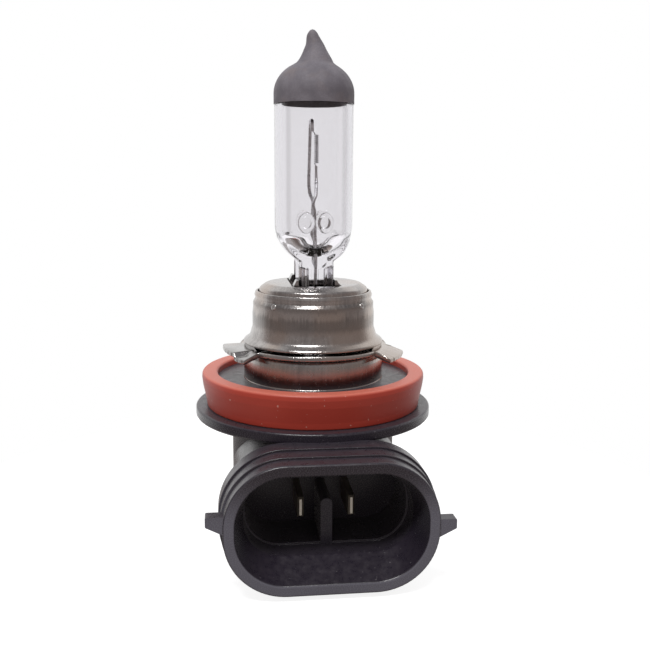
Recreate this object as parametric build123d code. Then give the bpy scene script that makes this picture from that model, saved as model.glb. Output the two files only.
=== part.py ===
from build123d import *
import math
import os

# Single-filament headlight bulb with a right-angle two-pin plug base.
# Millimetres.  z = 0 is the reference plane under the locking lugs, +Z runs
# along the bulb axis to the glass tip, and the plug opening faces -Y.

os.makedirs("parts", exist_ok=True)

# ---- quartz burner ----
tube_r = 5.3            # outside radius of the quartz tube
tube_wall = 0.9
dome_z = 35.55          # where the straight tube turns into the domed upper end
dome_rise = 4.28        # height of the dome on the outside
tip_z = 43.7            # end of the exhaust tip
nub_root_r = 2.35       # exhaust tip where it leaves the dome
nub_end_r = 0.5
shoulder_z = 18.4       # centre of the rounded lower end
coat_edge_z = 34.2      # lower edge of the antiglare coat
coat_t = 0.08
pinch_t = 4.85          # press seal across the rails
pinch_w = 9.2
pinch_web = 2.6         # glass left between the two side pockets
rail_w = 1.5
pinch_bottom_z = 3.4
pocket_top_z = 13.0

# ---- conductors ----
wire_r = 0.25           # support wires inside the bulb
lead_r = 0.32           # outer leads
lead_pitch = 3.8        # spacing of the two leads across the press seal
foil_w = 2.4
foil_t = 0.05
foil_top_z = 11.6
foil_bottom_z = 5.4
foil_lap = 1.2          # how far each wire lies along its foil
weld_flat = 0.04        # flat pressed on a wire where it is welded
coil_r = 0.33
coil_bore_r = 0.2
coil_bottom_z = 26.5
coil_length = 3.75
coil_x = 0.37           # the coil stands a little off the tube's axis
tail_r = 0.09
hook_z = 32.15          # centre line of the bend over the coil
hook_drop = 1.45
hook_reach = 2.7        # long wire, from the coil's plane to its upright run
bridge_z = 18.65
bridge_half_w = 2.45
bridge_h = 2.9
bridge_l = 6.2

# ---- steel holder ----
cup_r = 7.5
cup_top_z = 10.4
cup_t = 0.5
cup_bottom_z = 4.4
cup_bevel = 0.55
slot_gap = 0.9          # room for the clip tongues round the press seal
clip_t = 0.35
clip_r = 6.5
clip_bottom_z = 5.2
tongue_w = 1.9
tongue_rise = 0.75
sleeve_r = 8.4
sleeve_t = 0.45
sleeve_rim_r = 7.95
sleeve_top_z = 9.35
sleeve_shoulder_z = 7.2
flare_top_z = 4.4
flare_r = 9.65
lip_gap = 0.35          # gap over the ring between the weld pads
weld_r = 0.5
weld_t = 0.3
weld_z = 7.95
weld_tilt = 18          # slope of the sleeve's shoulder at the welds
ring_r = 10.2
ring_t = 0.6
ring_top_z = 1.9
ring_hole_r = 6.9
lug_r = 12.55           # radius to the lug tips
lug_tip_z = 1.35
lug_foot = 0.8          # turned-down edge that bears on the lamp
lug_foot_z = 0.45
lugs = ((333, 6.4), (85, 6.4), (197.5, 8.8))  # angle and width; the wide one is the key
barrel_r = 9.62
barrel_t = 0.7
barrel_anchor_r = barrel_r + 1.58

# ---- moulded base ----
seal_top_r = 15.41
hub_r = seal_top_r - 2.21
hub_top_z = -2.65
seal_top_z = -1.75
seal_bottom_r = seal_top_r - 0.66
flange_top_z = -6.4
flange_t = 1.4
flange_r = seal_top_r + 0.89
lead_bore_r = 6.2
plug_y = -23.0          # front face of the plug shroud
plug_z = -16.04         # height of the shroud's centre
plug_w = 25.8
plug_h = 16.2
plug_corner_r = 7.6
plug_wall = 1.35
band_depth = 2.3        # length of each stepped band round the shroud
band_step = 0.25
mouth_depth = 4.0
throat_w = 20.8
neck_r = throat_w / 2 + 0.9     # round body under the flange, and the body round the sockets
throat_h = 10.1
throat_z = -15.65
throat_corner_r = 4.6
throat_depth = 3.0
pocket_inset = 0.3
socket_back_y = -9.0
shroud_back_y = -15.8   # where the wide shroud steps in to the narrower body
throat_round = 0.45
pocket_round = 0.12
rib_t = 1.45
rib_top_z = -14.7
ear_reach = 2.0
ear_tops = {"left": -13.9, "right": -15.3}     # different heights, so the plug fits one way up
ear_side_h = 1.2
ear_root_h = 2.6
ear_depth = 1.6
chamber_w = 12.0
chamber_l = 11.0
cover_t = 1.6
cover_seat = 1.5        # width of the ledge that the cover sits on
cover_gap = 0.05
rim_round = 0.3         # rounded edges of the moulding
band_round = 0.1
ear_round = 0.2
foot_round = 0.5

# ---- terminals ----
blade_t = 0.8
blade_h = 2.6
blade_pitch = 6.4
blade_tip_y = -15.8
blade_z = -15.9
blade_chamfer = 0.25
shank_h = 4.4
shank_front_y = -8.2
tab_w = 2.6
tab_rise = 3.2

flange_bottom_z = flange_top_z - flange_t
body_bottom_z = plug_z - plug_h / 2 - 2 * band_step
chamber_top_z = flange_bottom_z - 1.5
lip_z = ring_top_z + lip_gap
ends = {"front": -1, "rear": 1}
sides = {"left": -1, "right": 1}


def front_plane(y, z):
    return Plane(origin=(0, y, z), x_dir=(1, 0, 0), z_dir=(0, -1, 0))


def turned(*points):
    outline = make_face(Polyline(*points, close=True))
    return revolve(Plane.XZ * outline, Axis.Z)


def disc(radius, bottom, top):
    return Pos(0, 0, bottom) * Cylinder(radius, top - bottom, align=(Align.CENTER, Align.CENTER, Align.MIN))


def block(x_range, y_range, z_range):
    size = [end - start for start, end in (x_range, y_range, z_range)]
    corner = (x_range[0], y_range[0], z_range[0])
    return Pos(*corner) * Box(*size, align=(Align.MIN, Align.MIN, Align.MIN))


def bent_wire(radius, points, bends):
    path = FilletPolyline(*points, radius=bends)
    start = Plane(origin=path @ 0, z_dir=path % 0)
    return sweep(start * Circle(radius), path=path)


def oval_prism(width, height, corner, y_start, y_end, z):
    outline = RectangleRounded(width, height, corner)
    return extrude(front_plane(y_start, z) * outline, amount=y_start - y_end)


# ---- burner shapes ----
def dome(grow):
    arc = EllipticalCenterArc((0, dome_z), tube_r + grow, dome_rise + grow, arc_size=90)
    half = make_face([Line((0, dome_z), arc @ 0), arc, Line(arc @ 1, (0, dome_z))])
    return revolve(Plane.XZ * half, Axis.Z)


def domed_end(grow):
    nub_root_z = dome_z + dome_rise * math.sqrt(1 - (nub_root_r / tube_r) ** 2) - 0.1
    nub_end_z = tip_z - nub_end_r
    nub = Cone(nub_root_r + grow, nub_end_r + grow, nub_end_z - nub_root_z,
               align=(Align.CENTER, Align.CENTER, Align.MIN))
    point = Pos(0, 0, nub_end_z) * Sphere(nub_end_r + grow)
    return dome(grow) + Pos(0, 0, nub_root_z) * nub + point


def burner_outside():
    tube = disc(tube_r, shoulder_z, dome_z)
    lower_end = Pos(0, 0, shoulder_z) * Sphere(tube_r)
    return tube + lower_end + domed_end(0)


def burner_cavity():
    bore = tube_r - tube_wall
    return disc(bore, shoulder_z, dome_z) + Pos(0, 0, shoulder_z) * Sphere(bore) + dome(-tube_wall)


def press_seal():
    seal = block((-pinch_t / 2, pinch_t / 2), (-pinch_w / 2, pinch_w / 2), (pinch_bottom_z, shoulder_z - 2))
    seal = fillet(seal.edges().filter_by(Axis.Z), 0.6)
    pocket_half = pinch_w / 2 - rail_w
    for side in sides.values():
        faces = sorted((side * pinch_web / 2, side * pinch_t))
        pocket = block(faces, (-pocket_half, pocket_half), (pinch_bottom_z - 1, pocket_top_z))
        seal -= fillet(pocket.edges().filter_by(Axis.Z), 0.4)
    return seal


def foil(place):
    y = place * lead_pitch / 2
    x = -(wire_r - weld_flat + foil_t / 2)
    return block((x - foil_t / 2, x + foil_t / 2), (y - foil_w / 2, y + foil_w / 2),
                 (foil_bottom_z, foil_top_z))


def long_wire():
    y = lead_pitch / 2
    points = [(0, y, foil_top_z - foil_lap), (0, y, 21.2), (-0.05, hook_reach, 23.4),
              (-0.05, hook_reach, hook_z), (-0.2, 0.15, hook_z), (-0.2, 0.15, hook_z - hook_drop)]
    return bent_wire(wire_r, points, (1.2, 1.2, 0.7, 0.7))


def short_wire():
    y = -lead_pitch / 2
    foot_x = coil_x - 0.05
    points = [(0, y, foil_top_z - foil_lap), (0, y, 21.0), (foot_x, -0.1, 24.6),
              (foot_x, -0.1, coil_bottom_z - 0.35)]
    return bent_wire(wire_r, points, (1.2, 1.0))


def coil():
    top = coil_bottom_z + coil_length
    body = disc(coil_r, coil_bottom_z, top) - disc(coil_bore_r, coil_bottom_z, top)
    body = Pos(coil_x, 0, 0) * body
    edge_r = (coil_r + coil_bore_r) / 2
    upper = [(coil_x - edge_r, 0, top - 0.25), (coil_x - edge_r, 0.05, top + 0.25),
             (-0.2, 0.15, hook_z - hook_drop + 0.1)]
    lower = [(coil_x, edge_r, coil_bottom_z + 0.25), (coil_x, edge_r, coil_bottom_z - 0.2),
             (coil_x - 0.05, -0.1, coil_bottom_z - 0.5)]
    return body + bent_wire(tail_r, upper, 0.15) + bent_wire(tail_r, lower, 0.1)


def bridge_rod(side):
    outline = Pos(side * bridge_half_w / 2, bridge_z) * Ellipse(bridge_half_w / 2, bridge_h / 2)
    rod = extrude(Plane.XZ * outline, amount=bridge_l / 2, both=True)
    return rod


def outer_lead(place):
    y = place * lead_pitch / 2
    end_x = -place * (blade_pitch / 2 - blade_t / 2 - lead_r + weld_flat)
    tab_top = blade_z + shank_h / 2 + tab_rise
    points = [(0, y, foil_bottom_z + foil_lap), (0, y, chamber_top_z + 1.5), (end_x, y, tab_top + 0.5),
              (end_x, y, tab_top - tab_rise * 0.6)]
    return bent_wire(lead_r, points, (1.5, 0.8))


# ---- steel shapes ----
def cup():
    inner = cup_r - cup_t
    shell = turned((0, cup_top_z), (cup_r - cup_bevel, cup_top_z), (cup_r, cup_top_z - cup_bevel),
                   (cup_r, cup_bottom_z), (inner, cup_bottom_z), (inner, cup_top_z - cup_t),
                   (0, cup_top_z - cup_t))
    slot = block((-pinch_t / 2 - slot_gap, pinch_t / 2 + slot_gap),
                 (-pinch_w / 2 - clip_t, pinch_w / 2 + clip_t), (cup_bottom_z, cup_top_z + 1))
    return shell - slot


def clip():
    plate_top = cup_top_z - cup_t
    plate = disc(clip_r, plate_top - clip_t, plate_top)
    box = block((-pinch_t / 2 - clip_t, pinch_t / 2 + clip_t), (-pinch_w / 2 - clip_t, pinch_w / 2 + clip_t),
                (clip_bottom_z, plate_top))
    opening = block((-pinch_t / 2, pinch_t / 2), (-pinch_w / 2, pinch_w / 2),
                    (clip_bottom_z - 1, cup_top_z + 3))
    body = plate + box - opening
    tongue_top = cup_top_z + tongue_rise
    near = pinch_t / 2
    far = near + slot_gap
    for side in sides.values():
        strip = Polyline((side * far, plate_top - clip_t), (side * far, plate_top),
                         (side * (near + clip_t * 0.8), tongue_top), (side * near, tongue_top),
                         (side * near, plate_top - clip_t), close=True)
        for place in ends.values():
            y = place * (pinch_w / 2 - tongue_w / 2 - 0.2)
            body += extrude(Plane.XZ.offset(-y) * make_face(strip), amount=tongue_w / 2, both=True)
    return body


def sleeve():
    inner = sleeve_r - sleeve_t
    outside = [(sleeve_rim_r, sleeve_top_z - 0.15), (sleeve_rim_r + 0.12, sleeve_top_z - 0.7),
               (sleeve_rim_r + 0.2, sleeve_top_z - 1.0), (sleeve_r, sleeve_shoulder_z + 0.4),
               (sleeve_r, flare_top_z), (sleeve_r + 0.45, lip_z + 0.85), (flare_r, lip_z + 0.4),
               (flare_r, lip_z)]
    inside = [(flare_r - 0.9, lip_z), (inner, flare_top_z - 0.4), (inner, sleeve_shoulder_z),
              (cup_r, sleeve_top_z - 0.9), (cup_r, sleeve_top_z), (sleeve_rim_r - 0.15, sleeve_top_z)]
    return turned(*outside, *inside)


def sleeve_welds():
    spots = None
    for angle in (45, 135, 225, 315):
        spot = Rot(0, 0, angle) * Pos(sleeve_r - weld_t * 0.75, 0, weld_z) * Rot(0, 90 - weld_tilt, 0)
        nugget = spot * Cylinder(weld_r, weld_t)
        spots = nugget if spots is None else spots + nugget
    return spots


def lug(angle, width):
    root = ring_r - 1.2
    top = ring_top_z
    bottom = top - ring_t
    inside = lug_r - lug_foot
    side_view = Polyline((root, top), (ring_r, top), (lug_r - 0.3, lug_tip_z), (lug_r, lug_tip_z - 0.2),
                         (lug_r, lug_foot_z), (inside, lug_foot_z), (inside - 0.3, lug_tip_z - ring_t),
                         (ring_r, bottom), (root, bottom), close=True)
    tab = extrude(Plane.XZ * make_face(side_view), amount=width / 2, both=True)
    return Rot(0, 0, angle) * tab & disc(lug_r, 0, ring_top_z)


def weld_pad(angle, width):
    pad = disc(flare_r - 0.1, ring_top_z, lip_z) - disc(flare_r - 0.8, ring_top_z, lip_z)
    window = Rot(0, 0, angle) * block((0, 2 * flare_r), (-width / 2, width / 2), (ring_top_z, lip_z))
    return pad & window


def lug_ring():
    ring = disc(ring_r, ring_top_z - ring_t, ring_top_z)
    for angle, width in lugs:
        ring += lug(angle, width)
        ring += weld_pad(angle, width)
    return ring - disc(ring_hole_r, ring_top_z - 2, ring_top_z + 1)


def barrel():
    top = ring_top_z - ring_t
    inner = barrel_r - barrel_t
    anchor_z = hub_top_z - 2.6
    return turned((ring_hole_r, top), (barrel_r - 0.5, top), (barrel_r - 0.12, top - 0.2),
                  (barrel_r, top - 0.6), (barrel_r, anchor_z + barrel_t),
                  (barrel_anchor_r, anchor_z + barrel_t), (barrel_anchor_r, anchor_z), (inner, anchor_z),
                  (inner, top - barrel_t), (ring_hole_r, top - barrel_t))


# ---- moulded base ----
def sealing_ring():
    ring = turned((hub_r, flange_top_z), (seal_bottom_r, flange_top_z), (seal_top_r, seal_top_z - 0.8),
                  (seal_top_r, seal_top_z), (hub_r, seal_top_z))
    rims = ring.edges().filter_by(GeomType.CIRCLE).group_by(Axis.Z)[-1]
    return fillet(rims, 0.3)


def plug_shroud():
    shape = oval_prism(plug_w, plug_h, plug_corner_r, plug_y, shroud_back_y, plug_z)
    for band in (1, 2):
        grow = band * band_step
        front = plug_y + band * band_depth
        ring = oval_prism(plug_w + 2 * grow, plug_h + 2 * grow, plug_corner_r + grow, front,
                          shroud_back_y, plug_z)
        shape += fillet(ring.edges().group_by(Axis.Y)[0], band_round)
    shape += oval_prism(2 * neck_r, plug_h + 4 * band_step, plug_corner_r, shroud_back_y - 0.5, 0, plug_z)
    shape -= plug_inside()
    return fillet(shape.edges().group_by(Axis.Y)[0], rim_round)


def plug_ear(side, top_z):
    wall = plug_w / 2 - 0.8
    tip = plug_w / 2 + ear_reach
    side_z = top_z - ear_side_h
    root_z = top_z - ear_root_h
    outline = Polyline((side * wall, top_z), (side * tip, top_z), (side * tip, side_z),
                       (side * wall, root_z), close=True)
    ear = extrude(front_plane(plug_y + rim_round, 0) * make_face(outline), amount=-ear_depth)
    return fillet(ear.edges().filter_by(Axis.Y), ear_round)


def plug_inside():
    rim_w = plug_w - 2 * plug_wall
    rim_h = plug_h - 2 * plug_wall
    throat_y = plug_y + mouth_depth
    pocket_y = throat_y + throat_depth
    wide = front_plane(plug_y, plug_z) * RectangleRounded(rim_w, rim_h, plug_corner_r - plug_wall)
    narrow = front_plane(throat_y, throat_z) * RectangleRounded(throat_w, throat_h, throat_corner_r)
    mouth = loft([wide, narrow])
    throat = oval_prism(throat_w, throat_h, throat_corner_r, throat_y, pocket_y, throat_z)
    pocket = oval_prism(throat_w - 2 * pocket_inset, throat_h - 2 * pocket_inset,
                        throat_corner_r - pocket_inset, pocket_y, socket_back_y, throat_z)
    inside = mouth + throat + pocket
    for y, bend in ((throat_y, throat_round), (pocket_y, pocket_round)):
        inside = fillet(inside.edges().filter_by_position(Axis.Y, y - 0.01, y + 0.01), bend)
    return inside


def plug_rib():
    floor_z = throat_z - throat_h / 2
    front_y = plug_y + mouth_depth + throat_depth - 0.2
    rib = block((-rib_t / 2, rib_t / 2), (front_y, socket_back_y + 0.5), (floor_z - 0.5, rib_top_z))
    return fillet(rib.edges().filter_by(Axis.Y).group_by(Axis.Z)[-1], rib_t * 0.45)


def chamber():
    floor_z = body_bottom_z
    room = block((-chamber_w / 2, chamber_w / 2), (-chamber_l / 2, chamber_l / 2),
                 (floor_z - 1, chamber_top_z))
    return fillet(room.edges().filter_by(Axis.Z), 1.5)


def cover_shape(gap):
    width = chamber_w + 2 * cover_seat - 2 * gap
    length = chamber_l + 2 * cover_seat - 2 * gap
    outline = RectangleRounded(width, length, 3.0 - gap)
    return extrude(Plane.XY.offset(body_bottom_z) * outline, amount=cover_t)


def base_cover():
    plate = cover_shape(cover_gap)
    plug = block((-chamber_w / 2 + 0.1, chamber_w / 2 - 0.1), (-chamber_l / 2 + 0.1, chamber_l / 2 - 0.1),
                 (body_bottom_z + cover_t, body_bottom_z + cover_t + 1.0))
    return plate + fillet(plug.edges().filter_by(Axis.Z), 1.5)


def terminal(side):
    x = side * blade_pitch / 2
    half = blade_t / 2
    lead_y = -side * lead_pitch / 2
    back_y = lead_pitch / 2 + tab_w / 2
    blade = block((x - half, x + half), (blade_tip_y, shank_front_y),
                  (blade_z - blade_h / 2, blade_z + blade_h / 2))
    tip = blade.edges().group_by(Axis.Y)[0]
    blade = chamfer(tip, blade_chamfer)
    shank = block((x - half, x + half), (shank_front_y, back_y),
                  (blade_z - shank_h / 2, blade_z + shank_h / 2))
    tab = block((x - half, x + half), (lead_y - tab_w / 2, lead_y + tab_w / 2),
                (blade_z, blade_z + shank_h / 2 + tab_rise))
    return blade + shank + tab


def base_housing(inserts):
    flange = fillet(disc(flange_r, flange_bottom_z, flange_top_z).edges().filter_by(GeomType.CIRCLE), 0.3)
    body = disc(neck_r, body_bottom_z, flange_bottom_z + 0.5)
    body = fillet(body.edges().group_by(Axis.Z)[0], foot_round)
    shape = flange + disc(hub_r, flange_top_z, hub_top_z) + body + plug_shroud()
    for name, side in sides.items():
        shape += plug_ear(side, ear_tops[name])
    shape -= plug_inside()
    shape += plug_rib()
    shape -= disc(lead_bore_r, chamber_top_z - 1, hub_top_z + 1)
    shape -= chamber()
    shape -= cover_shape(0)
    for insert in inserts:
        shape -= insert
    return shape


nodes = {}
wires = {"long_support_wire": long_wire(), "short_support_wire": short_wire()}
leads = {place: outer_lead(step) for place, step in ends.items()}
foils = {place: foil(step) for place, step in ends.items()}
terminals = {name: terminal(side) for name, side in sides.items()}

quartz = burner_outside() + press_seal() - burner_cavity()
for solid in (*wires.values(), *leads.values(), *foils.values()):
    quartz -= solid
nodes["quartz_envelope"] = quartz

coat_skin = domed_end(coat_t) + disc(tube_r + coat_t, coat_edge_z, dome_z)
nodes["antiglare_coating"] = coat_skin - burner_outside() - disc(tube_r + 1, shoulder_z, coat_edge_z)

filament = coil()
for wire in wires.values():
    filament -= wire
nodes["filament_coil"] = filament

for name, side in sides.items():
    rod = bridge_rod(side)
    for wire in wires.values():
        rod -= wire
    nodes["bridge_rod_" + name] = rod

for name, wire in wires.items():
    for strip in foils.values():
        wire -= strip
    nodes[name] = wire

for place, strip in foils.items():
    nodes["foil_" + place] = strip
    lead = leads[place] - strip
    for blade in terminals.values():
        lead -= blade
    nodes["outer_lead_" + place] = lead

nodes["pinch_clip"] = clip()
nodes["holder_cup"] = cup() - clip()
nodes["sleeve_spot_welds"] = sleeve_welds()
nodes["adjusting_sleeve"] = sleeve() - sleeve_welds()
nodes["lug_ring"] = lug_ring()
nodes["base_barrel"] = barrel()
nodes["sealing_ring"] = sealing_ring()
nodes["base_housing"] = base_housing([barrel(), *terminals.values()])
nodes["base_cover"] = base_cover()
for name, blade in terminals.items():
    nodes["terminal_" + name] = blade

for name, solid in nodes.items():
    export_step(solid, "parts/" + name + ".step")
    print(name, round(solid.volume, 3))
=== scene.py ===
import bpy
import bmesh
import random
from math import acos, cos, degrees, pi, radians, sin, sqrt, tan
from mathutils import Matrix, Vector


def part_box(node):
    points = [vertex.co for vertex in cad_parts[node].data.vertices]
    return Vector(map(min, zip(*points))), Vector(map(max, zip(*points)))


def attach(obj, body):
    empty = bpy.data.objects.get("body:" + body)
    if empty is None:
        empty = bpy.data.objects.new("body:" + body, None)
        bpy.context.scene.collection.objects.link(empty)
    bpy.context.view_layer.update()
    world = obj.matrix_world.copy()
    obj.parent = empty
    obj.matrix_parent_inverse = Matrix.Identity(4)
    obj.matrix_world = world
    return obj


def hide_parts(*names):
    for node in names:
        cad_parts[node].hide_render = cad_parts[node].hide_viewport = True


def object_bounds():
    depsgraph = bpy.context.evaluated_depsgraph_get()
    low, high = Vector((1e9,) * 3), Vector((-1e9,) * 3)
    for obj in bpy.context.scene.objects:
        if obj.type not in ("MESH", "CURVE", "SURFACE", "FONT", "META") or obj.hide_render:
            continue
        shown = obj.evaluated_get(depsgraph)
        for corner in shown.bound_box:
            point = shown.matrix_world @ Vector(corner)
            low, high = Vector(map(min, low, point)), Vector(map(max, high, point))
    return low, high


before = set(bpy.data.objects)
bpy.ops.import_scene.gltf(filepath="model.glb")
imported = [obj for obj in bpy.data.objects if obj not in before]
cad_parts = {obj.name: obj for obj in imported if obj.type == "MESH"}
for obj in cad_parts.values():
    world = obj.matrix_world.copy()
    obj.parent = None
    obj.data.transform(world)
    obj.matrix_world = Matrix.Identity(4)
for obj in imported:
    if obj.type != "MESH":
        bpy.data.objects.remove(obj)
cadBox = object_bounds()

# headlight bulb: its sizes below are in millimetres, and the scene and the studio are in metres
mm = 0.001
dice = random.Random(11)
print("frame loaded:", len(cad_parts), "nodes")


def extent(node):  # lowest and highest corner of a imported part, in millimetres
    low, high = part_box(node)
    return low / mm, high / mm


def glide(value, start, end):  # 0 before start, 1 after end, smooth between
    share = min(1, max(0, (value - start) / (end - start)))
    return share * share * (3 - 2 * share)


tubeLow, tubeHigh = extent("quartz_envelope")
burner = {
    "radius": tubeHigh.x,
    "wall": 0.9,
    "tip": tubeHigh.z,
    "domeHeight": 35.55,    # where the straight tube turns into the dome
    "domeRise": 4.28,
    "shoulderHeight": 18.4,
    "nubRoot": 2.75,        # radius where the exhaust tip leaves the dome
    "nub": ((2.42, 39.46), (2.1, 39.95), (1.7, 40.65), (1.26, 41.55), (1.0, 42.2), (0.72, 42.95),
            (0.5, 43.34), (0.26, 43.6)),
    "lean": ((38.8, 0), (40.1, 0.2), (41.6, 0.12), (43.2, -0.2), (44.0, -0.22)),
    "pinchHalf": (2.425, 4.6),
    "pinchBottom": tubeLow.z,
    "webHalf": 1.3,
    "railWidth": 1.5,
    "pocketTop": 13.0,
    "dent": 0.5,            # upright hollow in the front and rear of the press seal
    "dentHalf": 1.15,
    "turns": 160,
}


class Flow:
    # one output socket, so that sums on it read as plain expressions
    def __init__(self, nodes, socket):
        self.nodes = nodes
        self.socket = socket

    def join(self, operation, first, second):
        return self.nodes.node("Math", {"operation": operation}, {0: first, 1: second})

    def __add__(self, other):
        return self.join("ADD", self, other)

    def __sub__(self, other):
        return self.join("SUBTRACT", self, other)

    def __rsub__(self, other):
        return self.join("SUBTRACT", other, self)

    def __mul__(self, other):
        return self.join("MULTIPLY", self, other)

    def __pow__(self, other):
        return self.join("POWER", self, other)

    __radd__ = __add__
    __rmul__ = __mul__


class Nodes:
    # a node tree, and the one method that adds nodes to it
    def __init__(self, owner):
        owner.use_nodes = True
        self.tree = owner.node_tree
        self.tree.nodes.clear()

    def node(self, kind, settings=None, values=None, out=0):
        made = self.tree.nodes.new("ShaderNode" + kind)
        for key, value in (settings or {}).items():
            if key == "stops":
                while len(made.color_ramp.elements) < len(value):
                    made.color_ramp.elements.new(0.5)
                for element, (place, shade) in zip(made.color_ramp.elements, value):
                    element.position = place
                    element.color = (shade, shade, shade, 1)
            else:
                setattr(made, key, value)
        for key, value in (values or {}).items():
            if isinstance(value, Flow):
                self.tree.links.new(value.socket, made.inputs[key])
            else:
                made.inputs[key].default_value = value
        return Flow(self, made.outputs[out]) if made.outputs else None

    def glide(self, flow, start, end):  # 0 before start, 1 after end, smooth between
        values = {0: flow, 1: start, 2: end}
        return self.node("MapRange", {"interpolation_type": "SMOOTHSTEP"}, values)

    def tint(self, mask, low, high):  # colour low where mask is 0, high where it is 1
        ends = [side if isinstance(side, Flow) else (*side, 1) for side in (low, high)]
        return self.node("Mix", {"data_type": "RGBA"}, {0: mask, 6: ends[0], 7: ends[1]}, 2)


class Finish(Nodes):
    # a material, with the nodes that most of the finishes share
    def __init__(self, name):
        self.material = bpy.data.materials.new(name)
        super().__init__(self.material)

    def place(self, stretch=(1, 1, 1)):  # object coordinates in millimetres, stretched
        spot = self.node("TexCoord", out="Object")
        return self.node("Mapping", {}, {"Vector": spot, "Scale": [1000 * s for s in stretch]})

    def cloud(self, scale, detail=4, rough=0.55, stretch=(1, 1, 1)):
        values = {"Vector": self.place(stretch), "Scale": scale, "Detail": detail, "Roughness": rough}
        return self.node("TexNoise", {}, values)

    def ramp(self, flow, *stops):  # grey ramp from (place, shade) pairs
        return self.node("ValToRGB", {"stops": stops}, {"Fac": flow})

    def part(self, axis):  # one object coordinate in millimetres
        return self.node("SeparateXYZ", {}, {0: self.place()}, axis)

    def facing(self, axis):  # one part of the surface normal
        normal = self.node("NewGeometry", out="Normal")
        return self.node("SeparateXYZ", {}, {0: normal}, axis)

    def outside(self):
        # 1 on the burner's outer skin and 0 on its inner one, by distance from the axis
        x, y, z = (self.part(axis) for axis in range(3))
        below = z.join("MAXIMUM", burner["shoulderHeight"] - z, 0)
        reach = (x * x + y * y + below * below) ** 0.5
        inner = burner["radius"] - burner["wall"]
        return self.glide(reach, inner + 0.2, inner + 0.6)

    def bump(self, height, depth):  # depth in millimetres
        return self.node("Bump", {}, {"Height": height, "Distance": depth * mm, "Strength": 1.0})

    def surface(self, **values):
        named = {key.replace("_", " "): value for key, value in values.items()}
        return self.show(self.node("BsdfPrincipled", {}, named))

    def show(self, shader):
        self.node("OutputMaterial", {}, {"Surface": shader})
        return self


def shaded(shade, share):
    return tuple(share * part for part in shade)


def clearQuartz(name, shade):
    # grey comes from the outer skin only, so that thick and thin glass look alike
    finish = Finish(name)
    waves = finish.cloud(0.35, 2, 0.4, (1, 1, 0.18))
    # painted shade: the rim mask below makes the glass greyer where it is seen edge-on, and dark at its
    # outline
    rim = finish.node("LayerWeight", {}, {"Blend": 0.5}, "Facing")
    colour = finish.tint(finish.glide(rim, 0.36, 0.5), shade, shaded(shade, 0.88))
    colour = finish.tint(finish.glide(rim, 0.8, 0.97), colour, shaded(shade, 0.3))
    side = finish.facing(0)
    painted_wall_shade = finish.glide(side, 0.58, 0.68) * (1 - finish.glide(side, 0.74, 0.84))
    painted_wall_shade = painted_wall_shade * finish.glide(finish.facing(1) * -1, 0, 0.3)  # painted shade: a grey streak in the wall, on the right
    colour = finish.tint(painted_wall_shade, colour, shaded(shade, 0.74))
    colour = finish.tint(finish.outside(), (0.985, 0.985, 0.985), colour)
    return finish.surface(Base_Color=colour, Roughness=0.01, IOR=1.458, Transmission_Weight=1.0,
                          Normal=finish.bump(waves, 0.04))


def bakedCoat():
    finish = Finish("bakedCoat")
    patches = finish.cloud(0.3, 5, 0.65)
    grain = finish.cloud(7, 4, 0.7)
    warm = finish.ramp(finish.cloud(0.35, 3), (0.5, 0), (0.7, 1))
    shade = finish.tint(finish.glide(patches, 0.35, 0.65), (0.15, 0.138, 0.16), (0.215, 0.2, 0.225))
    shade = finish.tint(warm * 0.4, shade, (0.24, 0.19, 0.175))
    shade = finish.tint(finish.glide(grain, 0.3, 0.7) * 0.35, shade, (0.1, 0.095, 0.105))
    return finish.surface(Base_Color=shade, Roughness=0.58 + grain * 0.2, Specular_IOR_Level=0.45,
                          Normal=finish.bump(grain, 0.03))


def drawnSteel(name, shade=(0.5, 0.475, 0.46), streaks=1.0, shine=0.1, painted_reflection_bands=()):
    finish = Finish(name)
    lines = finish.cloud(2.6, 4, 0.65, (1, 1, 0.04))  # upright draw marks
    blotches = finish.cloud(0.22, 5, 0.6)
    scuffs = finish.glide(finish.cloud(1.6, 6, 0.75), 0.5, 0.7)
    film = finish.glide(finish.cloud(0.12, 3, 0.5), 0.42, 0.62)  # brown heat film
    dark = shaded(shade, 0.6)
    colour = finish.tint(finish.glide(blotches * 0.6 + lines * 0.4 * streaks, 0.3, 0.62), dark, shade)
    colour = finish.tint(film * 0.5, colour, (shade[0] * 0.9, shade[1] * 0.74, shade[2] * 0.62))
    height = finish.part(2) + (lines + blotches) * 1.6 - 1.6
    for low, high, depth in painted_reflection_bands:  # painted dark reflections: bands round the axis, ragged along the draw marks
        painted_band = finish.glide(height, low, low + 0.8) * (1 - finish.glide(height, high - 0.8, high))
        colour = finish.tint(painted_band * depth, colour, shaded(shade, 0.2))
    rough = shine + lines * 0.12 * streaks + blotches * 0.1 + scuffs * 0.1 * streaks
    return finish.surface(Base_Color=colour, Metallic=1.0, Roughness=rough,
                          Normal=finish.bump(lines, 0.02 * streaks + 0.002))


def wireMetal(name, shade, rough=0.22):
    finish = Finish(name)
    bands = finish.glide(finish.cloud(1.6, 4, 0.6), 0.3, 0.7)
    colour = finish.tint(bands, shaded(shade, 0.55), shade)
    return finish.surface(Base_Color=colour, Metallic=1.0, Roughness=rough + bands * 0.15,
                          Normal=finish.bump(bands, 0.015))


def redSilicone():
    finish = Finish("redSilicone")
    patches = finish.cloud(0.12, 3, 0.5)
    grain = finish.cloud(7, 3, 0.6)
    specks = finish.ramp(finish.cloud(2.8, 1, 0.3), (0.76, 0), (0.79, 1))
    upward = finish.glide(finish.facing(2), 0.2, 0.95)
    low = finish.tint(patches, (0.4, 0.042, 0.025), (0.5, 0.06, 0.036))
    colour = finish.tint(upward * 0.8, low, (0.64, 0.17, 0.115))  # painted light: the upward faces of the lip are paler
    colour = finish.tint(specks * 0.55, colour, (0.75, 0.5, 0.42))
    return finish.surface(Base_Color=colour, Roughness=0.34 + grain * 0.16, Specular_IOR_Level=0.45,
                          Normal=finish.bump(grain, 0.012))


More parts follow.
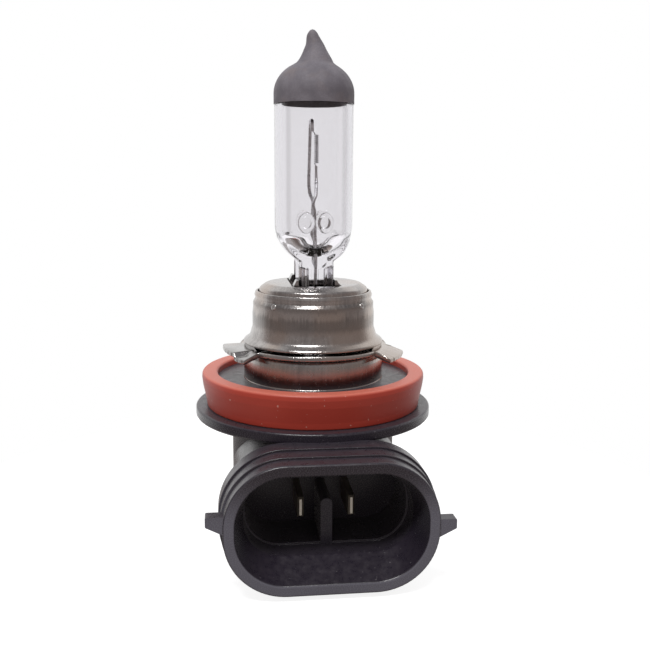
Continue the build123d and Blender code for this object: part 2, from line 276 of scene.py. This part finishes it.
def mouldedBlack():
    # near black, with painted light: paler on what faces forward and low down
    finish = Finish("mouldedBlack")
    cloudy = finish.cloud(0.16, 4, 0.6)
    grain = finish.cloud(6, 4, 0.6)
    dust = finish.glide(finish.cloud(1.1, 6, 0.7), 0.35, 0.75)
    upward = finish.glide(finish.facing(2), 0.25, 0.95)
    front = finish.glide(finish.facing(1) * -1, 0.6, 0.98)
    low = finish.glide(finish.part(2) * -1, 8.5, 15.5)
    specks = finish.ramp(finish.cloud(3.3, 1, 0.3), (0.75, 0), (0.78, 1))
    colour = finish.tint(cloudy, (0.012, 0.0095, 0.016), (0.021, 0.0165, 0.027))
    # painted light: the forward faces are paler, the more so low down
    painted_front_light = finish.tint(low, (0.034, 0.028, 0.034), (0.15, 0.148, 0.178))
    near = 0.2 + 0.8 * finish.glide(finish.part(1) * -1, 16.5, 20.5)  # little of the painted light inside the plug
    colour = finish.tint(front * near * (0.75 + cloudy * 0.25), colour, painted_front_light)
    colour = finish.tint(upward * (0.04 + dust * 0.12), colour, (0.12, 0.1, 0.115))
    colour = finish.tint(specks * 0.4, colour, (0.22, 0.21, 0.22))
    rough = 0.2 + grain * 0.14 + upward * dust * 0.16
    return finish.surface(Base_Color=colour, Roughness=rough, Specular_IOR_Level=0.5, Sheen_Weight=0.12,
                          Sheen_Roughness=0.4, Normal=finish.bump(grain, 0.008))


def tinnedBlade():
    finish = Finish("tinnedBlade")
    cloudy = finish.cloud(1.4, 4, 0.6)
    front = finish.glide(finish.facing(1) * -1, 0.7, 0.95)  # the faces that look forward, the cut ends, are paler and less metallic
    colour = finish.tint(cloudy, (0.5, 0.46, 0.36), (0.66, 0.62, 0.5))
    colour = finish.tint(front, colour, (0.95, 0.93, 0.8))
    return finish.surface(Base_Color=colour, Metallic=1 - front * 0.75, Roughness=0.34 + cloudy * 0.15,
                          Normal=finish.bump(cloudy, 0.01))


quartz = clearQuartz("clearQuartz", (0.8, 0.785, 0.82))
beadQuartz = clearQuartz("beadQuartz", (0.9, 0.9, 0.84))
coat = bakedCoat()
# the sleeve and barrel steel gets painted dark reflections in bands round the axis
sleeveSteel = drawnSteel("sleeveSteel", painted_reflection_bands=((4.4, 6.8, 0.42), (7.1, 8.5, 0.42), (-2.9, -1.0, 0.45)))
ringSteel = drawnSteel("ringSteel", (0.6, 0.58, 0.57), 0.3, 0.12)
weldSteel = drawnSteel("weldSteel", (0.85, 0.84, 0.83), 0.2, 0.12)
moly = wireMetal("moly", (0.95, 0.95, 0.97), 0.26)
tungsten = wireMetal("tungsten", (0.72, 0.71, 0.74), 0.28)
foilMetal = wireMetal("foilMetal", (0.55, 0.52, 0.5), 0.3)
leadMetal = wireMetal("leadMetal", (0.55, 0.55, 0.54))
silicone = redSilicone()
plastic = mouldedBlack()
bladeTin = tinnedBlade()
print("finishes made:", len(bpy.data.materials))


class Shape:
    # points in millimetres and faces, gathered before they become a mesh
    def __init__(self):
        self.points = []
        self.faces = []

    def rings(self, rings, closed=False, capStart=False, capEnd=False):
        base = len(self.points)
        count = len(rings[0])
        for ring in rings:
            self.points.extend(ring)
        steps = len(rings) if closed else len(rings) - 1
        for step in range(steps):
            near = base + step * count
            far = base + (step + 1) % len(rings) * count
            for spot in range(count):
                after = (spot + 1) % count
                self.faces.append((near + spot, near + after, far + after, far + spot))
        if capStart:
            self.faces.append(tuple(range(base + count - 1, base - 1, -1)))
        if capEnd:
            last = base + (len(rings) - 1) * count
            self.faces.append(tuple(range(last, last + count)))
        return self

    def lathe(self, outline, turns=160, closed=True):
        # a solid turned about the bulb axis; outline is a list of (radius, height)
        spokes = [(cos(2 * pi * s / turns), sin(2 * pi * s / turns)) for s in range(turns)]
        return self.rings([[(r * c, r * s, z) for c, s in spokes] for r, z in outline], closed)

    def piece(self, name, finish, slot, stands=(), sharp=40):
        mesh = bpy.data.meshes.new(name)
        mesh.from_pydata([Vector(p) * mm for p in self.points], [], self.faces)
        work = bmesh.new()
        work.from_mesh(mesh)
        bmesh.ops.remove_doubles(work, verts=work.verts, dist=1e-7)
        bmesh.ops.dissolve_degenerate(work, edges=work.edges, dist=1e-8)
        bmesh.ops.recalc_face_normals(work, faces=work.faces)
        work.to_mesh(mesh)
        work.free()
        made = bpy.data.objects.new(name, mesh)
        bpy.context.collection.objects.link(made)
        return settle(made, finish, stands, sharp)


def settle(made, finish, stands=(), sharp=40):
    mesh = made.data
    mesh.materials.clear()
    mesh.materials.append(finish.material)
    mesh.shade_smooth()
    mesh.set_sharp_from_angle(angle=radians(sharp))
    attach(made, "root")
    if stands:
        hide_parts(*stands)
    return made


def rounded(corners, steps=6, closed=True):
    # an outline with arcs at its corners; each corner ends with its bend radius
    result = []
    count = len(corners)
    for spot, corner in enumerate(corners):
        here, bend = Vector(corner[:-1]), corner[-1]
        ended = not closed and spot in (0, count - 1)
        if bend <= 0 or ended:
            result.append(tuple(here))
            continue
        back = Vector(corners[spot - 1][:-1]) - here
        ahead = Vector(corners[(spot + 1) % count][:-1]) - here
        half = back.angle(ahead) / 2
        cut = min(bend / tan(half), 0.49 * back.length, 0.49 * ahead.length)
        back.normalize()
        ahead.normalize()
        radius = cut * tan(half)
        centre = here + (back + ahead).normalized() * radius / sin(half)
        first = here + back * cut - centre
        last = here + ahead * cut - centre
        sweep = pi - 2 * half
        for step in range(steps + 1):
            share = step / steps
            turn = (first * sin((1 - share) * sweep) + last * sin(share * sweep)) / sin(sweep)
            result.append(tuple(centre + turn))
    return result


def curveThrough(points, steps=10):  # smooth line through a few points (Catmull-Rom)
    spots = [Vector(p) for p in points]
    spots = [2 * spots[0] - spots[1], *spots, 2 * spots[-1] - spots[-2]]
    line = []
    for a, b, c, d in zip(spots, spots[1:], spots[2:], spots[3:]):
        for step in range(steps):
            t = step / steps
            line.append(0.5 * (2 * b + (c - a) * t + (2 * a - 5 * b + 4 * c - d) * t ** 2
                               + (3 * b - a - 3 * c + d) * t ** 3))
    return line + [spots[-2]]


def wireShape(shape, line, radius, sides=20):
    # a round wire along a line; radius is a number or a function of the share along it
    size = radius if callable(radius) else lambda share: radius
    rings = []
    side = (line[1] - line[0]).orthogonal().normalized()
    for spot, point in enumerate(line):
        ahead = line[min(spot + 1, len(line) - 1)] - line[max(spot - 1, 0)]
        ahead.normalize()
        side = (side - ahead * side.dot(ahead)).normalized()
        other = ahead.cross(side)
        r = size(spot / (len(line) - 1))
        rings.append([tuple(point + (side * cos(2 * pi * k / sides) + other * sin(2 * pi * k / sides)) * r)
                      for k in range(sides)])
    return shape.rings(rings, capStart=True, capEnd=True)


def leanAt(height):
    points = burner["lean"]
    if height <= points[0][0]:
        return 0
    for (low, before), (high, after) in zip(points, points[1:]):
        if height <= high:
            return before + (after - before) * glide(height, low, high)
    return points[-1][1]


def domeOutline(grow=0.0):
    # (radius, height) from the straight tube up to the end of the exhaust tip
    radius = burner["radius"]
    stop = acos(burner["nubRoot"] / radius)
    turns = [stop * step / 24 for step in range(24)]
    line = [(radius * cos(a), burner["domeHeight"] + burner["domeRise"] * sin(a)) for a in turns]
    line += [tuple(p) for p in curveThrough(burner["nub"], 5)]
    line.append((0, burner["tip"]))
    if not grow:
        return line
    grown = []
    for spot, (r, z) in enumerate(line):
        ahead = Vector(line[min(spot + 1, len(line) - 1)]) - Vector(line[max(spot - 1, 0)])
        ahead.normalize()
        grown.append((max(0, r + ahead.y * grow) if spot < len(line) - 1 else 0, z - ahead.x * grow))
    return grown


def leaningRings(outline, turns):
    spokes = [(cos(2 * pi * s / turns), sin(2 * pi * s / turns)) for s in range(turns)]
    return [[(r * c + leanAt(z), r * s, z) for c, s in spokes] for r, z in outline]


def burnerSection(height):
    # outline of the glass at one height, from round tube to the pressed H of the seal
    radius = burner["radius"]
    centre = burner["shoulderHeight"]
    drop = max(0, centre - height)
    ball = sqrt(max(0, radius ** 2 - drop ** 2)) if drop < radius else 0
    halfX, halfY = burner["pinchHalf"]
    soft = 0.35
    reachX = 0.5 * (ball + halfX + sqrt((ball - halfX) ** 2 + soft ** 2))
    reachY = 0.5 * (ball + halfY + sqrt((ball - halfY) ** 2 + soft ** 2))
    reachX -= 0.5 * soft ** 2 / (abs(ball - halfX) + soft)
    reachY = min(reachY, radius)
    square = 2 + 5 * glide(drop, 1.2, 4.6)
    pocket = glide(burner["pocketTop"] + 0.7 - height, 0, 1.2)
    ring = []
    for spot in range(burner["turns"]):
        angle = 2 * pi * spot / burner["turns"]
        c, s = cos(angle), sin(angle)
        x = reachX * abs(c) ** (2 / square) * (1 if c > 0 else -1)
        y = reachY * abs(s) ** (2 / square) * (1 if s > 0 else -1)
        dent = burner["dent"] * glide(burner["dentHalf"] - abs(x), -0.3, 0.5) * pocket
        if abs(y) > halfY * 0.8:
            y -= dent if y > 0 else -dent
        inside = 1 - glide(abs(y), halfY - burner["railWidth"] - 0.25, halfY - burner["railWidth"] + 0.35)
        x += (burner["webHalf"] * (1 if c > 0 else -1) * min(1, abs(c) * 8) - x) * pocket * inside
        ring.append((x, y, height))
    return ring


def makeEnvelope():
    shape = Shape()
    bottom = burner["pinchBottom"]
    centre = burner["shoulderHeight"]
    heights = [bottom] + [bottom + 0.1] + [5 + 0.9 * s for s in range(8)]
    heights += [12.2 + 0.14 * s for s in range(44)] + [centre, centre + 1]
    rings = [burnerSection(h) for h in heights]
    rings += leaningRings([(burner["radius"], 26)] + domeOutline(), burner["turns"])
    shape.rings(rings, capStart=True)
    bore = burner["radius"] - burner["wall"]
    quarter = [pi / 2 * step / 16 for step in range(17)]
    rise = burner["domeRise"] - burner["wall"]
    low = [(bore * sin(a), centre - bore * cos(a)) for a in quarter]
    high = [(bore * cos(a), burner["domeHeight"] + rise * sin(a)) for a in quarter]
    shape.lathe(low + high, burner["turns"], closed=False)
    made = shape.piece("quartzEnvelope", quartz, "quartz", ["quartz_envelope"], 60)
    flipCavity(made, Vector((bore, 0, burner["domeHeight"])) * mm)
    return made


def flipCavity(made, spot):
    # the inner skin faces the fill gas, so its faces look inwards
    work = bmesh.new()
    work.from_mesh(made.data)
    island = set()
    queue = [min(work.verts, key=lambda v: (v.co - spot).length)]
    while queue:
        vertex = queue.pop()
        if vertex in island:
            continue
        island.add(vertex)
        queue.extend(e.other_vert(vertex) for e in vertex.link_edges)
    inner = [f for f in work.faces if f.verts[0] in island]
    face = max(inner, key=lambda f: f.calc_center_median().x)
    if face.normal.x > 0:
        bmesh.ops.reverse_faces(work, faces=inner)
    work.to_mesh(made.data)
    work.free()


def makeCoat():
    edge = extent("antiglare_coating")[0].z
    skin = 0.07
    outer = [(burner["radius"] + skin, edge + 0.02)] + domeOutline(skin)
    inner = [(burner["radius"] + 0.008, edge)] + domeOutline(0.008)
    shape = Shape()
    rings = leaningRings(list(reversed(inner)) + outer, burner["turns"])
    shape.rings(rings)
    return shape.piece("antiglareCoat", coat, "antiglare_coat", ["antiglare_coating"], 60)


makeEnvelope()
makeCoat()
print("burner glass and coat made")


coilLow, coilHigh = extent("filament_coil")
wires = {
    "thick": 0.25,
    "thin": 0.23,
    "hookHeight": extent("long_support_wire")[1].z - 0.25,
    "reach": extent("long_support_wire")[1].y - 0.25,
    "leadY": 1.9,
    "foot": extent("long_support_wire")[0].z,
}
coil = {
    "x": 0.37,
    "radius": 0.27,
    "strand": 0.062,
    "bottom": 26.5,
    "top": 30.25,
    "turns": 15,
}


def makeLongWire():
    y, reach, top = wires["leadY"], wires["reach"], wires["hookHeight"]
    points = [(0, y, wires["foot"]), (0, y, 15.5), (0.05, y, 18.6), (0.1, y, 20.2), (0.12, y + 0.2, 21.3),
              (-0.22, y + 0.55, 22.3), (-0.36, reach - 0.1, 23.1), (-0.4, reach, 24.4), (-0.32, reach, 27.5),
              (-0.24, reach, 30.2), (-0.2, reach, top - 0.75), (-0.2, reach - 0.3, top - 0.1),
              (-0.2, reach - 0.9, top), (-0.2, 0.75, top), (-0.2, 0.25, top - 0.2), (-0.2, 0.15, top - 0.75),
              (-0.2, 0.15, top - 1.45)]
    shape = wireShape(Shape(), curveThrough(points, 8), wires["thick"])
    return shape.piece("longSupportWire", moly, "support_wire", ["long_support_wire"], 60)


def makeShortWire():
    y = -wires["leadY"]
    points = [(0, y, wires["foot"]), (0, y, 15.5), (-0.04, y, 18.6), (-0.1, y, 20.2), (-0.25, y + 0.1, 21.2),
              (0.15, y + 0.5, 22.3), (0.28, -0.6, 23.6), (0.32, -0.14, 24.6),
              (0.32, -0.1, coil["bottom"] - 0.35)]
    shape = wireShape(Shape(), curveThrough(points, 8), thinning)
    return shape.piece("shortSupportWire", moly, "support_wire", ["short_support_wire"], 60)


def thinning(share):  # the thin wire's radius, a little less where it meets the coil
    return wires["thin"] - 0.05 * glide(share, 0.7, 1)


def makeCoil():
    steps = 26
    line = [Vector((-0.2, 0.15, wires["hookHeight"] - 1.35)), Vector((-0.05, 0.12, coil["top"] + 0.36)),
            Vector((0.12, 0.02, coil["top"] + 0.22))]
    line = curveThrough(line + [Vector((coil["x"] - coil["radius"], 0, coil["top"]))], 6)[:-1]
    count = coil["turns"] * steps
    for step in range(count + 1):
        angle = pi + 2 * pi * step / steps
        height = coil["top"] - (coil["top"] - coil["bottom"]) * step / count
        line.append(Vector((coil["x"] + coil["radius"] * cos(angle), coil["radius"] * sin(angle), height)))
    foot = coil["bottom"]
    line += curveThrough([line[-1], (coil["x"] - 0.12, 0.1, foot - 0.2), (0.32, -0.08, foot - 0.42)], 6)
    shape = wireShape(Shape(), line, coil["strand"], 10)
    return shape.piece("filamentCoil", tungsten, "tungsten", ["filament_coil"], 70)


def makeBridgeRod(side):
    node = "bridge_rod_left" if side < 0 else "bridge_rod_right"
    low, high = extent(node)
    middle = (low + high) / 2
    halfX, halfY, halfZ = (high - low) / 2
    corners = [(-1, 0.0, 0), (-1, 0.55, 0.2), (-0.86, 1, 0.3), (0.86, 1, 0.3), (1, 0.55, 0.2), (1, 0.0, 0)]
    turns = [2 * pi * k / 48 for k in range(48)]
    rings = []
    for along, size in rounded(corners, 5, False):
        wide, tall = (half * max(0.02, size) for half in (halfX * 0.97, halfZ))
        y = middle.y + halfY * along
        rings.append([(middle.x + wide * cos(a), y, middle.z + tall * sin(a)) for a in turns])
    shape = Shape().rings(rings, capStart=True, capEnd=True)
    return shape.piece("bridgeRod" + ("Left" if side < 0 else "Right"), beadQuartz, "quartz", [node], 60)


makeLongWire()
makeShortWire()
makeCoil()
for side in (-1, 1):
    makeBridgeRod(side)
print("wires, coil and bridge made")


cupLow, cupHigh = extent("holder_cup")
cup = {
    "radius": cupHigh.x,
    "top": cupHigh.z,
    "bottom": cupLow.z,
    "wall": 0.5,
    "slot": (3.32, 4.95),
}


def makeCup():
    r, top, wall = cup["radius"], cup["top"], cup["wall"]
    outline = [(0.001, top, 0), (r - 1.05, top, 0.8), (r - 0.12, top - 0.62, 0.5), (r, top - 1.3, 0.3),
               (r, cup["bottom"], 0.1), (r - wall, cup["bottom"], 0.1), (r - wall, top - 1.2, 0.3),
               (r - 1.2, top - wall, 0.3), (0.001, top - wall, 0)]
    shape = Shape().lathe(rounded(outline))
    made = shape.piece("holderCup", sleeveSteel, "pressed_steel", ["holder_cup"], 35)
    cutSlot(made)
    return made


def cutSlot(made):
    halfX, halfY = cup["slot"]
    corners = [(-halfX, -halfY, 0.6), (halfX, -halfY, 0.6), (halfX, halfY, 0.6), (-halfX, halfY, 0.6)]
    outline = rounded(corners, 5)
    cutter = Shape().rings([[(x, y, z) for x, y in outline] for z in (cup["top"] - 3, cup["top"] + 2)],
                           capStart=True, capEnd=True)
    tool = cutter.piece("slotTool", sleeveSteel, "pressed_steel")
    carve(made, tool, "DIFFERENCE")


def carve(made, tool, operation):
    change = made.modifiers.new("carve", "BOOLEAN")
    change.operation = operation
    change.object = tool
    change.solver = "EXACT"
    carved = bpy.data.meshes.new_from_object(made.evaluated_get(bpy.context.evaluated_depsgraph_get()))
    made.modifiers.clear()
    made.data = carved
    bpy.data.objects.remove(tool)
    carved.shade_smooth()
    carved.set_sharp_from_angle(angle=radians(35))


sleeveLow, sleeveHigh = extent("adjusting_sleeve")
sleeve = {
    "top": sleeveHigh.z,
    "lip": sleeveLow.z,
    "lipRadius": sleeveHigh.x,
    "radius": 8.4,
    "rim": 7.95,
    "wall": 0.42,
}


def makeSleeve():
    r, top, lip, rim, wall = sleeve["radius"], sleeve["top"], sleeve["lip"], sleeve["rim"], sleeve["wall"]
    out = sleeve["lipRadius"]
    outside = [(rim - 0.28, top, 0.06), (rim - 0.02, top - 0.02, 0.16), (rim + 0.16, top - 0.5, 0.35),
               (rim + 0.03, top - 1.0, 0.3), (rim + 0.36, top - 1.55, 0.4), (r - 0.1, top - 2.1, 0.6),
               (r, top - 3.0, 0.6), (r, lip + 2.2, 1.6), (r + 0.42, lip + 0.85, 0.9),
               (out - 0.12, lip + 0.36, 0.25), (out, lip + 0.2, 0.12), (out - 0.05, lip, 0.06)]
    inside = [(out - 0.75, lip, 0.2), (r + 0.1, lip + 0.35, 0.8), (r - wall, lip + 2.0, 1.2),
              (r - wall, top - 2.6, 0.5), (cup["radius"] + 0.03, top - 1.3, 0.2)]
    shape = Shape().lathe(rounded(outside + inside), 200)
    return shape.piece("adjustingSleeve", sleeveSteel, "pressed_steel", ["adjusting_sleeve"], 50)


welds = {
    "angles": (45, 135, 225, 315),
    "reach": 8.22,          # from the axis to the middle of a dimple
    "height": 7.85,
    "tilt": 0.32,
    "outline": ((0.001, -0.12), (0.42, -0.12), (0.42, 0.02), (0.36, 0.1), (0.24, 0.13), (0.14, 0.06),
                (0.001, 0.03)),
}


def makeSpotWelds():
    shape = Shape()
    turns = [2 * pi * k / 24 for k in range(24)]
    for angle in welds["angles"]:
        turn = radians(angle)
        out = Vector((cos(turn), sin(turn), welds["tilt"])).normalized()
        side = out.orthogonal().normalized()
        other = out.cross(side)
        centre = Vector((cos(turn), sin(turn), 0)) * welds["reach"] + Vector((0, 0, welds["height"]))
        spokes = [side * cos(a) + other * sin(a) for a in turns]
        rings = [[tuple(centre + out * lift + spoke * r) for spoke in spokes] for r, lift in welds["outline"]]
        shape.rings(rings, capStart=True, capEnd=True)
    return shape.piece("sleeveSpotWelds", weldSteel, "weld_metal", ["sleeve_spot_welds"], 60)


ringLow, ringHigh = extent("lug_ring")
ring = {
    "hole": 6.9,
    "radius": 10.2,
    "lugRadius": 12.55,
    "lugs": ((333, 6.4), (85, 6.4), (197.5, 8.8)),
    "top": 1.9,
    "sheet": 0.6,
    "keyFold": (205.5, 209),  # the wide lug's front strip is turned down from here
    "pad": (8.85, 9.5),     # inner and outer radius of the raised weld pads
    "padHalfAngle": 14,
}


def lugShare(angle, radius):
    # 1 inside a lug's width, falling to 0 at its sides
    share = 0
    for place, width in ring["lugs"]:
        away = abs((degrees(angle) - place + 180) % 360 - 180)
        half = degrees(width / 2 / radius)
        share = max(share, 1 - glide(away, half - 0.5, half + 0.5))
    return share


def makeLugRing():
    shape = Shape()
    turns = 1080
    noise = [dice.uniform(-1, 1) for _ in range(turns)]
    top, sheet, edge = ring["top"], ring["sheet"], ring["radius"]
    loops = []
    for step in range(turns):
        angle = 2 * pi * step / turns
        place = degrees(angle)
        share = lugShare(angle, 12.1)
        key = glide(place, 170, 176) * (1 - glide(place, 219, 225))
        strip = glide(place, *ring["keyFold"]) * key * share
        drop = share * ((1 - key) * 1.0 + key * 0.12) + strip * 0.8
        rough = 0.05 * (noise[step] + noise[step - 1] + noise[step - 2]) / 3
        reach = edge + (ring["lugRadius"] - 0.05 - edge) * share + rough * (0.4 + share * 0.6)
        wave = 0.07 * sin(3 * angle + 0.6) + 0.04 * sin(7 * angle)
        bend = reach - 1.25 * share - 0.3
        outer = top - drop * 0.75 + wave * (1 - share)
        low = top - sheet - drop * 0.75
        outline = [(ring["hole"], top), (edge - 1.2, top), (edge - 0.45 + 0.2 * share, top - strip * 0.15),
                   (bend + 0.1, top - 0.25 * drop * share - 0.4 * strip), (reach - 0.2, outer + 0.02),
                   (reach - 0.05, outer - 0.06), (reach, outer - 0.2), (reach + rough * 0.4, low + 0.2),
                   (reach - 0.05, low + 0.05), (reach - 0.2, low - 0.02 + rough),
                   (bend, low + 0.45 * drop * share), (edge - 0.3 + 0.2 * share, top - sheet - strip * 0.15),
                   (edge - 1.4, top - sheet), (ring["hole"], top - sheet)]
        loops.append([(r * cos(angle), r * sin(angle), z) for r, z in outline])
    shape.rings(loops, closed=True)
    for place, _ in ring["lugs"]:
        addPad(shape, radians(place))
    return shape.piece("lugRing", ringSteel, "pressed_steel", ["lug_ring"], 45)


def addPad(shape, angle):
    # raised weld pad that the sleeve's lip sits on
    low, high = ring["top"] - 0.1, ringHigh.z - 0.01
    inner, outer = ring["pad"]
    half = radians(ring["padHalfAngle"])
    rings = []
    for step in range(13):
        turn = angle - half + 2 * half * step / 12
        rise = low + (high - low) * glide(min(step, 12 - step), 0, 2)
        corners = ((inner, low), (outer, low), (outer - 0.05, rise), (inner + 0.1, rise))
        rings.append([(r * cos(turn), r * sin(turn), z) for r, z in corners])
    return shape.rings(rings, capStart=True, capEnd=True)


barrelLow, barrelHigh = extent("base_barrel")
barrel = {
    "radius": 9.62,
    "top": barrelHigh.z,
    "plateau": -2.65,       # top of the moulding round the barrel
    "anchor": 11.1,         # radius of the flange hidden in the moulding
    "wall": 0.7,
    "foot": barrelLow.z,
}


def makeBarrel():
    r, top, foot, plateau = barrel["radius"], barrel["top"], barrel["foot"], barrel["plateau"]
    anchor, bore = barrel["anchor"], barrel["radius"] - barrel["wall"]
    outline = [(ring["hole"], top, 0), (r - 1.1, top, 0.1), (r - 0.75, top - 0.16, 0.15),
               (r - 0.3, top - 0.22, 0.3), (r - 0.02, top - 0.8, 0.4), (r, top - 1.2, 0.3),
               (r, plateau + 0.12, 0.08), (r + 0.07, plateau + 0.03, 0), (r + 0.07, plateau - 0.4, 0),
               (anchor, plateau - 0.4, 0), (anchor, foot, 0), (bore, foot, 0), (bore, top - 0.7, 0.3),
               (ring["hole"], top - 0.7, 0)]
    shape = Shape().lathe(rounded(outline), 200)
    return shape.piece("baseBarrel", sleeveSteel, "pressed_steel", ["base_barrel"], 50)


makeCup()
makeSleeve()
makeSpotWelds()
makeLugRing()
makeBarrel()
print("steel holder made")


sealLow, sealHigh = extent("sealing_ring")
seal = {
    "inside": 13.2,
    "topRadius": sealHigh.x,
    "bottomRadius": 14.75,
    "top": sealHigh.z,
    "bottom": sealLow.z,
}


def makeSeal():
    r, top, low = seal["topRadius"], seal["top"], seal["bottom"]
    hole, foot = seal["inside"], seal["bottomRadius"]
    outline = [(hole, low, 0), (foot, low, 0.25), (foot + 0.12, low + 0.9, 0.8), (r - 0.12, top - 1.7, 1.5),
               (r, top - 0.75, 0.5), (r - 0.05, top, 0.42), (hole + 0.05, top, 0.4), (hole, top - 0.85, 0.2)]
    made = Shape().lathe(rounded(outline, 9), 240)
    return made.piece("sealingRing", silicone, "red_silicone", ["sealing_ring"], 50)


makeSeal()
print("sealing ring made")


kept = {
    "base_housing": plastic,
    "base_cover": plastic,
    "pinch_clip": ringSteel,
    "foil_front": foilMetal,
    "foil_rear": foilMetal,
    "outer_lead_front": leadMetal,
    "outer_lead_rear": leadMetal,
    "terminal_left": bladeTin,
    "terminal_right": bladeTin,
}
for node, finish in kept.items():
    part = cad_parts[node]
    part.data.materials.clear()
    part.data.materials.append(finish.material)
print("packed parts finished:", len(kept))


studio = {
    "floorRadius": 0.06,
    "floorHeight": cadBox[0].z,
    "backEdge": (0.1, 0.6),
    "roomShade": (0.31, 0.27, 0.26),
    "ceilingShade": (0.34, 0.33, 0.34),
    "keySpot": (-0.09, -0.24, 0.42),
    "keySize": (0.2, 0.08),
    "keyPower": 1.6,
    "cameraSpot": (-0.01251, -0.11543, 0.0248),
    "cameraTurn": (80.03, 0, -7),
    "cameraRoll": 0.35,
    "lens": 46.9,
}


def makeFloor():
    # a small round table top of opal glass, lit from below where it is looked at
    mesh = bpy.data.meshes.new("floor")
    low = studio["floorHeight"] - 0.0002
    turns = [2 * pi * step / 96 for step in range(96)]
    reach = studio["floorRadius"]
    mesh.from_pydata([(reach * cos(a), reach * sin(a), low) for a in turns], [], [tuple(range(96))])
    floor = bpy.data.objects.new("floor", mesh)
    bpy.context.collection.objects.link(floor)
    opal = Finish("opal")
    grain = opal.cloud(0.02, 2)
    plain = opal.node("BsdfDiffuse", {}, {"Color": opal.tint(grain, (0.34, 0.31, 0.3), (0.38, 0.35, 0.34))})
    glow = opal.node("Emission", {}, {"Color": (1, 1, 1, 1), "Strength": 0.86})
    pale = opal.node("BsdfDiffuse", {}, {"Color": (0.4, 0.4, 0.4, 1)})
    lit = opal.node("AddShader", {}, {0: pale, 1: glow})
    direct = opal.node("LightPath", out="Is Camera Ray")
    through = opal.node("LightPath", out="Is Transmission Ray")
    seen = direct.join("MAXIMUM", direct, through)
    top = opal.node("MixShader", {}, {0: seen, 1: plain, 2: lit})
    under = opal.node("NewGeometry", out="Backfacing")  # clear from below, so the underside can be seen
    opal.show(opal.node("MixShader", {}, {0: under, 1: top, 2: opal.node("BsdfTransparent")}))
    mesh.materials.append(opal.material)


def makeWorld():
    # white behind the bulb, a dim warm room in front of it and a paler ceiling
    world = bpy.data.worlds.new("studio")
    bpy.context.scene.world = world
    sky = Nodes(world)
    way = sky.node("TexCoord", out="Generated")
    back = sky.glide(sky.node("SeparateXYZ", {}, {0: way}, 1), *studio["backEdge"])
    up = sky.glide(sky.node("SeparateXYZ", {}, {0: way}, 2), 0.1, 0.9)
    room = sky.tint(up, studio["roomShade"], studio["ceilingShade"])
    room = sky.tint(back, room, (1, 1, 1))
    direct = sky.node("LightPath", out="Is Camera Ray")
    through = sky.node("LightPath", out="Is Transmission Ray")
    folds = sky.node("LightPath", out="Ray Depth") - sky.node("LightPath", out="Transmission Depth")
    straight = through * (1 - sky.glide(folds, 1.2, 1.8))
    shown = sky.tint(direct.join("MAXIMUM", direct, straight), room, (1, 1, 1))
    glow = sky.node("Background", {}, {"Color": shown, "Strength": 1.0})
    sky.node("OutputWorld", {}, {"Surface": glow})


def makeKeyLight():
    lamp = bpy.data.lights.new("keyLight", "AREA")
    lamp.shape = "RECTANGLE"
    lamp.size, lamp.size_y = studio["keySize"]
    lamp.energy = studio["keyPower"]
    made = bpy.data.objects.new("keyLight", lamp)
    made.location = studio["keySpot"]
    made.rotation_euler = (-Vector(studio["keySpot"])).to_track_quat("-Z", "Y").to_euler()
    bpy.context.collection.objects.link(made)


def makeCamera():
    lens = bpy.data.cameras.new("camera")
    lens.lens = studio["lens"]
    lens.sensor_width = 36
    lens.clip_start = 0.005
    made = bpy.data.objects.new("camera", lens)
    made.location = studio["cameraSpot"]
    made.rotation_euler = [radians(turn) for turn in studio["cameraTurn"]]
    made.rotation_euler.rotate_axis("Z", radians(studio["cameraRoll"]))
    bpy.context.collection.objects.link(made)
    bpy.context.scene.camera = made


makeFloor()
makeWorld()
makeKeyLight()
makeCamera()
bpy.context.scene.view_settings.view_transform = "Standard"
print("studio made")
